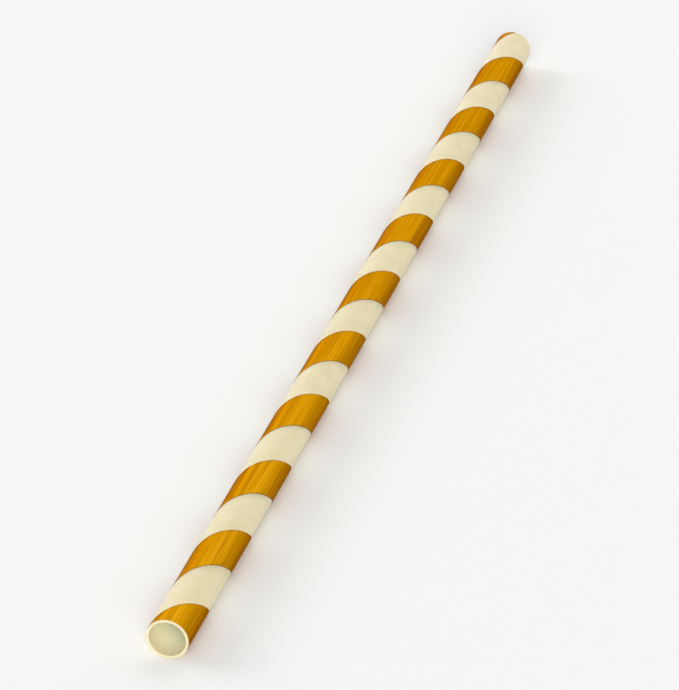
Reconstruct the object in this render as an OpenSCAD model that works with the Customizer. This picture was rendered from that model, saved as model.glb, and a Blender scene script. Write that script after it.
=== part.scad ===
// Spiral-wound paper drinking straw with a gold stripe, lying on its side.
// The axis runs along Y, one radius above the surface that the straw lies on.
// The origin is on that surface, below the middle of the tube, and the front
// end faces -Y.

/* [Tube] */
// Length of the straw
tube_len = 197; // [60:1:300]
// Outer diameter of the wound paper tube
tube_d = 6; // [5:0.1:12]
// Thickness of the wall, all glued plies together
wall = 0.4; // [0.25:0.05:0.8]

/* [Outer ply] */
// Width of the printed strip that is wound on last, edge to edge
ply_w = 13.8; // [8:0.1:15]
// Turn of the winding about the axis, as the angle where the gold starts
winding_turn = 16; // [0:1:359]

/* [Butt seam] */
// Width of the open line where two turns of the strip meet
seam_w = 0.16; // [0.08:0.02:0.4]
// Depth of that line below the paper's surface
seam_depth = 0.05; // [0.02:0.01:0.1]

/* [Gold stripe] */
// Width of the foil band, measured across the strip
gold_w = 6.7; // [2:0.1:7.5]
// Thickness of the foil
foil_t = 0.03; // [0.02:0.005:0.06]

/* [Hidden] */
paper = "#ece1c0";
gold = "#c98a12";

// Angle between two stations of the foil, and between two of the seam's cut
foil_step = 5;
seam_step = 10;
$fn = 120;

// How far a cutter runs past the face that it cuts, and how near two corners
// lie that count as one
past = 1;
touch = 0.00001;

tube_r = tube_d / 2;
bore_r = tube_r - wall;
girth = PI * tube_d;

// A strip covers the tube edge to edge when one turn of it advances by this
// much along the axis. A width across the strip is longer along the axis.
pitch = ply_w * girth / sqrt(girth ^ 2 - ply_w ^ 2);
gold_len = gold_w * pitch / ply_w;
seam_len = seam_w * pitch / ply_w;

// A chord lies deepest at its middle, where the foil's touches the tube and
// the seam's reaches its full depth
foil_in_r = tube_r / cos(foil_step / 2);
foil_out_r = foil_in_r + foil_t;
seam_floor_r = (tube_r - seam_depth) / cos(seam_step / 2);

// The straw lies on its stripe
axis_z = foil_out_r;

// The winding's line starts at the gold's edge on the front end. These give
// its distance from that end at an angle, and the angle where a line at the
// distance d beyond it has come to the distance z.
function line_at(a) = pitch * (a - winding_turn) / 360;
function angle_at(z, d) = winding_turn + 360 * (z - d) / pitch;

// Angles from one to another, with the whole steps between them
function stations(from, to, step) = [
    from,
    for (i = [floor(from / step) + 1 : ceil(to / step) - 1]) i * step,
];

// Helical band between the lines at the distances low and high, from radius
// r0 to radius r1. Both ends of the tube cut it off square, so it grows from
// a point to its full width and runs out to a point again.
module band(low, high, r0, r1, step) {
    angles = concat(
        stations(angle_at(0, high), angle_at(0, low), step),
        stations(angle_at(0, low), angle_at(tube_len, high), step),
        stations(angle_at(tube_len, high), angle_at(tube_len, low), step),
        [angle_at(tube_len, low)]
    );
    corners = [
        for (a = angles)
            let (
                z0 = max(0, line_at(a) + low),
                z1 = min(tube_len, line_at(a) + high)
            )
            for (p = [[r0, z0], [r1, z0], [r1, z1], [r0, z1]])
                [p[0] * cos(a), p[0] * sin(a), p[1]]
    ];
    sides = [
        for (i = [0 : len(angles) - 2], k = [0 : 3])
            let (p = 4 * i + k, q = 4 * i + (k + 1) % 4)
            each [[p, q, q + 4], [p, q + 4, p + 4]]
    ];
    // A tip has no width, so the sides that have no area there are left out
    polyhedron(points = corners, faces = [
        for (s = sides)
            if (norm(corners[s[0]] - corners[s[1]]) > touch)
                if (norm(corners[s[1]] - corners[s[2]]) > touch) s
    ]);
}

// Lays a straw that stands on the origin down along Y
module lay() {
    translate([0, -tube_len / 2, axis_z]) rotate([-90, 0, 0]) children();
}

// Plies of paper glued into one tube, cut off square at both ends, with the
// seam of the outer ply as a fine open line beside the gold
module paper_tube() {
    color(paper) lay() difference() {
        cylinder(h = tube_len, r = tube_r);
        translate([0, 0, -past]) cylinder(h = tube_len + 2 * past, r = bore_r);
        band(-seam_len, 0, seam_floor_r, tube_r + past, seam_step);
    }
}

// Gold foil, bonded to the outer ply along its whole run
module gold_stripe() {
    color(gold) lay() band(0, gold_len, foil_in_r, foil_out_r, foil_step);
}

paper_tube();
gold_stripe();
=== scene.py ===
"""Paper drinking straw with a gold spiral stripe, lying on a pale table.

Lengths are in metres. The straw's axis runs along Y and its front end faces -Y.
"""
import math

import bmesh
import bpy
import numpy as np
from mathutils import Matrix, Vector


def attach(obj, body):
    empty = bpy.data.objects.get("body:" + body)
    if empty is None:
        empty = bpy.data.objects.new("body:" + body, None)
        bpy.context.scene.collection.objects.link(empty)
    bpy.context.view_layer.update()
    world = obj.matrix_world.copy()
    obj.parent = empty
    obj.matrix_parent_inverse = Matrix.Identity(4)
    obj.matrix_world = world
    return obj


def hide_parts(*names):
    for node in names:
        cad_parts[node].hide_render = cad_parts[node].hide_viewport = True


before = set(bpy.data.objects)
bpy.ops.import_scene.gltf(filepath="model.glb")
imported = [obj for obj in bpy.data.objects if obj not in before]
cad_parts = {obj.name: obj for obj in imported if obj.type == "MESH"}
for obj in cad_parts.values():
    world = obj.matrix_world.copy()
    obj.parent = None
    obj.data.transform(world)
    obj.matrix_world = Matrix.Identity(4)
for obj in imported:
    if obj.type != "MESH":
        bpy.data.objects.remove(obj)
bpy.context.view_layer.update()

# Paper tube
# Strips of white paper wound in a spiral and glued face to face into one
# tube, then cut off square. The outer strip's two edges meet in a fine open
# line that runs round the tube with the winding.
mm = 0.001
tube_len = 197 * mm
tube_r = 3 * mm
wall = 0.4 * mm
plies = 3
bore_r = tube_r - wall
cut_edge_r = 0.045 * mm
glue_dip = 0.014 * mm
glue_dip_half_w = 0.012 * mm

# The outer strip's winding. Its line is the gold's first edge, which meets the
# front end at winding_turn, and the open groove runs just before it.
strip_w = 13.8 * mm
seam_w = 0.16 * mm
winding_turn = 16
girth = 2 * math.pi * tube_r
pitch = strip_w * girth / math.sqrt(girth**2 - strip_w**2)
along_per_across = pitch / strip_w
seam_len = seam_w * along_per_across
seam_depth = 0.05 * mm
seam_fullness = 0.7

# The straw lies on its foil. The solid foil has flats of foil_flat degrees, and
# the round one made here is as high as their corners.
foil_t = 0.03 * mm
foil_flat = 5
foil_outer_r = tube_r / math.cos(math.radians(foil_flat / 2)) + foil_t
axis_height = foil_outer_r

# How finely the surfaces are divided: degrees per station, and rows or columns
turn_step = 3
edge_rows = 6
bore_rows = 58
paper_columns = 13
seam_columns = 9
seam_first_share = 0.9
weld_distance = 0.0002 * mm


def on_straw(turn, along, radius):
    """Points of the straw as it lies on the table. x is the radius times the
    cosine of the turn, y the distance from the front end less half the length,
    z the axis height less the radius times the sine of the turn."""
    turn = np.radians(turn)
    x, y, z = np.broadcast_arrays(
        radius * np.cos(turn), along - tube_len / 2, axis_height - radius * np.sin(turn)
    )
    return np.stack([x, y, z], axis=-1)


def line_at(turn):
    """Distance of the winding's line from the front end: a pitch per turn."""
    return pitch * (turn - winding_turn) / 360


def turn_at(along, beyond):
    """Turn at which a line that lies beyond the winding's line reaches a distance."""
    return winding_turn + 360 * (along - beyond) / pitch


def stations(width):
    """Whole steps of the turn, as a column, over which a band that lies beyond
    the winding's line runs from the front end to the back end."""
    first = turn_step * math.floor(turn_at(0, width) / turn_step)
    last = turn_step * math.ceil(turn_at(tube_len, 0) / turn_step)
    return np.arange(first, last + turn_step, turn_step, dtype=float)[:, None]


def between_cuts(along):
    """Distances held between the two places where the cut edges start to round."""
    return np.clip(along, cut_edge_r, tube_len - cut_edge_r)


def paper_radius(turn, along):
    """Radius of the outer ply: the tube's, less a round-bottomed groove over
    the last seam_len before the winding's line. The groove's depth follows half
    a sine wave, raised to a power that makes it fuller."""
    before_line = pitch - np.mod(along - line_at(turn), pitch)
    share = np.clip(before_line / seam_len, 0, 1)
    return tube_r - seam_depth * np.sin(np.pi * share) ** seam_fullness


def grid_faces(rows, columns):
    """Quads between neighbours of a grid whose points are numbered row by row."""
    first = np.arange(rows - 1)[:, None] * columns + np.arange(columns - 1)[None, :]
    return np.stack([first, first + columns, first + columns + 1, first + 1], axis=-1)


def sheet_piece(name, grids):
    """One mesh from grids of points, each with a grid of texture places. Points
    that meet are welded, and the edges that this leaves without a face go."""
    points, faces, places = [], [], []
    count = 0
    for grid, place in grids:
        rows, columns = grid.shape[:2]
        quads = grid_faces(rows, columns).reshape(-1, 4)
        points.append(grid.reshape(-1, 3))
        places.append(place.reshape(-1, 2)[quads].reshape(-1, 2))
        faces.append(quads + count)
        count += rows * columns
    mesh = bpy.data.meshes.new(name)
    mesh.from_pydata(np.concatenate(points), [], np.concatenate(faces))
    layer = mesh.uv_layers.new(name="winding")
    layer.data.foreach_set("uv", np.concatenate(places).astype(np.float32).ravel())
    work = bmesh.new()
    work.from_mesh(mesh)
    bmesh.ops.remove_doubles(work, verts=work.verts, dist=weld_distance)
    bare = [edge for edge in work.edges if edge.is_wire]
    bmesh.ops.delete(work, geom=bare, context="EDGES")
    bmesh.ops.recalc_face_normals(work, faces=work.faces)
    work.to_mesh(mesh)
    work.free()
    mesh.polygons.foreach_set("use_smooth", np.ones(len(mesh.polygons), bool))
    piece = bpy.data.objects.new(name, mesh)
    bpy.context.scene.collection.objects.link(piece)
    return piece


def outer_ply():
    """Outer face: stations round the winding, and across each the line's own
    distance plus a spread over one pitch, held between the two cut edges. The
    texture place is the share of the pitch, and 0 for printed paper."""
    turn = stations(pitch)
    beyond = np.concatenate([
        np.linspace(0, pitch - seam_len, paper_columns),
        pitch - seam_len * np.linspace(seam_first_share, 0, seam_columns),
    ])[None, :]
    along = between_cuts(line_at(turn) + beyond)
    share = (along - line_at(turn)) / pitch
    place = np.stack([share, np.zeros_like(share)], axis=-1)
    return on_straw(turn, along, paper_radius(turn, along)), place


def ends_and_bore():
    """Cut ends and bore: a section carried round the axis. It rounds off the
    outer edge, crosses the wall with a fine dip at each glue line, rounds into
    the bore, runs through it and comes back out the same way. The texture
    place's second number is 1 on the cut ends and 2 in the bore."""
    turn = np.arange(0, 360 + turn_step, turn_step, dtype=float)[None, :]
    level = np.ones_like(turn)

    # Radii and distances from the end across the outer edge and the wall
    round_off = np.radians(np.linspace(0, 90, edge_rows))
    edge_in = cut_edge_r - cut_edge_r * np.cos(round_off)
    edge_y = cut_edge_r - cut_edge_r * np.sin(round_off)
    glue = np.arange(plies - 1, 0, -1)[:, None] * wall / plies
    ring = (bore_r + glue + np.array([1, 0, -1]) * glue_dip_half_w).reshape(-1, 1) * level
    ring_y = np.tile([0, glue_dip, 0], plies - 1)
    lip = (bore_r + edge_in[::-1])[:, None] * level

    radius = np.concatenate([
        paper_radius(turn, cut_edge_r) - edge_in[:, None],
        ring,
        lip,
        bore_r * np.ones((bore_rows, 1)) * level,
        lip[::-1],
        ring[::-1],
        paper_radius(turn, tube_len - cut_edge_r) - edge_in[::-1, None],
    ])
    end_y = np.concatenate([edge_y, ring_y, edge_y[::-1]])
    bore_y = np.linspace(cut_edge_r, tube_len - cut_edge_r, bore_rows + 2)[1:-1]
    along = np.concatenate([end_y, bore_y, tube_len - end_y[::-1]])[:, None] * level

    cut = np.ones(len(end_y))
    cut[:edge_rows] = np.linspace(0, 1, edge_rows)
    rawness = np.concatenate([cut, np.full(bore_rows, 2), cut[::-1]])[:, None] * level
    place = np.stack([np.full_like(rawness, 0.5), rawness], axis=-1)
    return on_straw(turn, along, radius), place


tube = sheet_piece("wound_paper_tube", [outer_ply(), ends_and_bore()])


def finish_tree(name):
    """A new material, its node tree and its surface shader."""
    finish = bpy.data.materials.new(name)
    finish.use_nodes = True
    return finish, finish.node_tree, finish.node_tree.nodes["Principled BSDF"]


def add(tree, kind, settings=None, **inputs):
    """Adds a node with its settings. Its inputs go by name, or by number as i0
    and on, and each takes a value or a link."""
    node = tree.nodes.new(kind)
    for key, value in (settings or {}).items():
        setattr(node, key, value)
    for key, value in inputs.items():
        by_number = key[0] == "i" and key[1:].isdigit()
        socket = node.inputs[int(key[1:]) if by_number else key]
        if isinstance(value, bpy.types.NodeSocket):
            tree.links.new(value, socket)
        else:
            socket.default_value = value
    return node


def grain(tree, scale, detail, stretch=(1, 1, 1)):
    """Noise on the piece's own metres: its features are 1 / scale across."""
    place = add(tree, "ShaderNodeTexCoord").outputs["Object"]
    place = add(tree, "ShaderNodeMapping", Vector=place, Scale=stretch).outputs[0]
    noise = add(
        tree, "ShaderNodeTexNoise", Vector=place, Scale=scale, Detail=detail, Roughness=0.6
    )
    return noise.outputs["Fac"]


def winding_place(tree, axis):
    """One number of the piece's texture place."""
    place = add(tree, "ShaderNodeUVMap", {"uv_map": "winding"}).outputs[0]
    return add(tree, "ShaderNodeSeparateXYZ", Vector=place).outputs[axis]


def blend_values(tree, share, under, over):
    """Number between two: all of under at a share of 0, all of over at 1."""
    mix = add(tree, "ShaderNodeMix", {"data_type": "FLOAT"}, i0=share, i2=under, i3=over)
    return mix.outputs[0]


def lay_over(tree, share, under, over):
    """Colour between two: all of under at a share of 0, all of over at 1."""
    mix = add(tree, "ShaderNodeMix", {"data_type": "RGBA"}, i0=share, i6=under, i7=over)
    return mix.outputs[2]


def blend_colours(tree, share, low, high, colours):
    """Runs a share between low and high through two or more colours."""
    ramp = add(tree, "ShaderNodeValToRGB", Fac=share)
    steps = ramp.color_ramp.elements
    while len(steps) < len(colours):
        steps.new(0.5)
    for i, colour in enumerate(colours):
        steps[i].position = low + (high - low) * i / (len(colours) - 1)
        steps[i].color = (*colour, 1)
    return ramp.outputs["Color"]


def over_range(tree, value, low, high, first=0.0, last=1.0):
    """Share that runs evenly from first at a low value to last at a high one."""
    node = add(tree, "ShaderNodeMapRange", i0=value, i1=low, i2=high, i3=first, i4=last)
    return node.outputs[0]


def roughen(tree, shader, height, strength, depth):
    """Bump on the surface: a height of 1 stands the depth above a height of 0."""
    bump = add(tree, "ShaderNodeBump", Strength=strength, Distance=depth, Height=height)
    tree.links.new(bump.outputs[0], shader.inputs["Normal"])


paper, tree, shader = finish_tree("white_paper")
mottle = grain(tree, scale=420, detail=3)
fibre = grain(tree, scale=5200, detail=4, stretch=(1, 0.35, 1))
cloud = blend_values(tree, 0.4, under=mottle, over=fibre)
cream = blend_colours(
    tree, cloud, low=0.36, high=0.64,
    colours=[(0.757, 0.667, 0.408), (0.838, 0.746, 0.49)],
)
raw_white = blend_colours(
    tree, fibre, low=0.3, high=0.7,
    colours=[(0.67, 0.605, 0.385), (0.73, 0.665, 0.45)],
)
# Bore: paler than the printed outside, as its bare inner paper is, and raised further past
# what paper reflects, painted light that stands in for light let in through the thin wall
bore_white_and_painted_light = blend_colours(
    tree, mottle, low=0.3, high=0.7,
    colours=[(0.955, 0.9, 0.68), (0.975, 0.925, 0.73)],
)
rawness = winding_place(tree, "Y")
cut_share = over_range(tree, rawness, low=0, high=1)
bore_share = over_range(tree, rawness, low=1, high=2)
outside = lay_over(tree, cut_share, under=cream, over=raw_white)
all_over = lay_over(tree, bore_share, under=outside, over=bore_white_and_painted_light)
tree.links.new(all_over, shader.inputs["Base Color"])
shader.inputs["Roughness"].default_value = 0.52
shader.inputs["Specular IOR Level"].default_value = 0.4
shader.inputs["Subsurface Weight"].default_value = 1
shader.inputs["Subsurface Radius"].default_value = (1, 0.85, 0.6)
shader.inputs["Subsurface Scale"].default_value = 0.4 * mm
roughen(tree, shader, fibre, strength=0.5, depth=0.016 * mm)
tube.data.materials.append(paper)
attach(tube, "root")
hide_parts("paper_tube")

# Gold stripe
# A band of gold foil, bonded to the outer strip before it is wound. It runs
# round the tube without a break, and the cut takes it off square at both ends.
foil_w = 6.7 * mm
foil_len = foil_w * along_per_across
glue_t = 0.001 * mm
foil_inner_r = tube_r + glue_t
foil_edge = 0.03 * mm
foil_edge_columns = 5
foil_columns = 7
sharp_corner = math.radians(40)


def foil_band():
    """Foil: across each station an outer face that rounds down to the paper
    over foil_edge at both edges, an inner face on the paper, and a wall from
    one to the other where the tube's cut takes the foil off. The texture place
    is the share of the band's width, and the turn."""
    turn = stations(foil_len)
    edge = foil_edge * (1 - np.cos(np.radians(np.linspace(0, 90, foil_edge_columns))))
    middle = np.linspace(foil_edge, foil_len - foil_edge, foil_columns + 2)[1:-1]
    across = np.concatenate([edge, middle, foil_len - edge[::-1]])
    beyond = np.concatenate([across, across[[-1, 0, 0]]])[None, :]
    on_top = np.concatenate([np.ones(len(across)), [0, 0, 1]])[None, :]
    along = between_cuts(line_at(turn) + beyond)
    inside = along - line_at(turn)
    near = np.clip(np.minimum(inside, foil_len - inside) / foil_edge, 0, 1)
    rise = np.sqrt(1 - (1 - near) ** 2) * on_top
    grid = on_straw(turn, along, foil_inner_r + (foil_outer_r - foil_inner_r) * rise)
    place = np.stack(np.broadcast_arrays(inside / foil_len, turn / 360), axis=-1)
    return grid, place


stripe = sheet_piece("gold_foil_stripe", [foil_band()])
stripe.data.set_sharp_from_angle(angle=sharp_corner)

gold, tree, shader = finish_tree("gold_foil")
sweep = grain(tree, scale=1900, detail=2, stretch=(1, 0.014, 1))
streak = grain(tree, scale=5600, detail=3, stretch=(1, 0.01, 1))
tone = blend_values(tree, 0.5, under=sweep, over=streak)
tint = blend_colours(
    tree, tone, low=0.38, high=0.62,
    colours=[(0.55, 0.235, 0.007), (0.67, 0.315, 0.010), (0.77, 0.385, 0.016)],
)

# The tint deepens over a fine border along both edges
border_w = 0.16 * mm
border_tint = (0.20, 0.07, 0.003, 1)
border_strength = 0.75
across = winding_place(tree, "X")
offset = add(tree, "ShaderNodeMath", {"operation": "SUBTRACT"}, i0=across, i1=0.5)
from_middle = add(tree, "ShaderNodeMath", {"operation": "ABSOLUTE"}, i0=offset.outputs[0])
border = over_range(
    tree, from_middle.outputs[0],
    low=0.5 - border_w / foil_w, high=0.5, last=border_strength,
)
bordered = lay_over(tree, border, under=tint, over=border_tint)
tree.links.new(bordered, shader.inputs["Base Color"])
shader.inputs["Metallic"].default_value = 1
# The specular tint darkens the foil's reflection at grazing angles far below real gold's,
# a painted shade that turns both edges of each band dark brown
shader.inputs["Specular Tint"].default_value = (0.24, 0.17, 0.08, 1)
roughness = over_range(tree, streak, low=0.2, high=0.8, first=0.5, last=0.26)
tree.links.new(roughness, shader.inputs["Roughness"])
roughen(tree, shader, streak, strength=0.25, depth=0.01 * mm)
stripe.data.materials.append(gold)
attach(stripe, "root")
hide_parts("gold_stripe")

# Table
# A plain white top that the straw lies on, far wider than the picture. It is
# there for the picture alone and is no part of the straw.
table_half = 4.0
corners = table_half * np.array([(-1, -1, 0), (1, -1, 0), (1, 1, 0), (-1, 1, 0)])
table_mesh = bpy.data.meshes.new("table_top")
table_mesh.from_pydata(corners, [], [(0, 1, 2, 3)])
table = bpy.data.objects.new("table_top", table_mesh)
bpy.context.scene.collection.objects.link(table)
top, tree, shader = finish_tree("white_table")
shader.inputs["Base Color"].default_value = (0.9, 0.9, 0.89, 1)
shader.inputs["Roughness"].default_value = 0.9
table.data.materials.append(top)

# Light
# A soft light from beside the camera, which reaches into the bore, a low one
# from the left, a very low one from the far left, a very wide one from beyond
# the far end, and an even white room.


def soft_light(name, place, spread, strength):
    """An even light from the side of a place, as wide as its spread in degrees."""
    lamp = bpy.data.lights.new(name, "SUN")
    lamp.angle = math.radians(spread)
    lamp.energy = strength
    light = bpy.data.objects.new(name, lamp)
    light.location = place
    light.rotation_euler = (-Vector(place)).to_track_quat("-Z", "Y").to_euler()
    bpy.context.scene.collection.objects.link(light)


soft_light("left", (-1.1, 0.2, 0.6), spread=30, strength=0.95)
soft_light("front", (0.38, -1.5, 0.65), spread=32, strength=2.6)
soft_light("far_end", (0.1, 1.4, 0.65), spread=76, strength=0.92)
soft_light("far_left", (-1.0, 1.1, 0.11), spread=36, strength=0.4)

room = bpy.data.worlds.new("white_room")
room.use_nodes = True
air = room.node_tree.nodes["Background"]
air.inputs["Color"].default_value = (1, 1, 1, 1)
air.inputs["Strength"].default_value = 0.415
bpy.context.scene.world = room

# Camera
# It looks down on the front end at a slant, along the straw, through a long
# lens that keeps all of it sharp.
lens = bpy.data.cameras.new("camera")
lens.sensor_fit = "VERTICAL"
lens.sensor_height = 36
lens.lens = 245.2
lens.clip_start = 0.01
lens.clip_end = 20
camera = bpy.data.objects.new("camera", lens)
look = Vector((-0.23489, 0.84962, -0.47221))
camera.location = (0.16501, -0.60878, 0.33476)
camera.rotation_euler = look.to_track_quat("-Z", "Y").to_euler()
bpy.context.scene.collection.objects.link(camera)
bpy.context.scene.camera = camera
bpy.context.scene.view_settings.view_transform = "Standard"
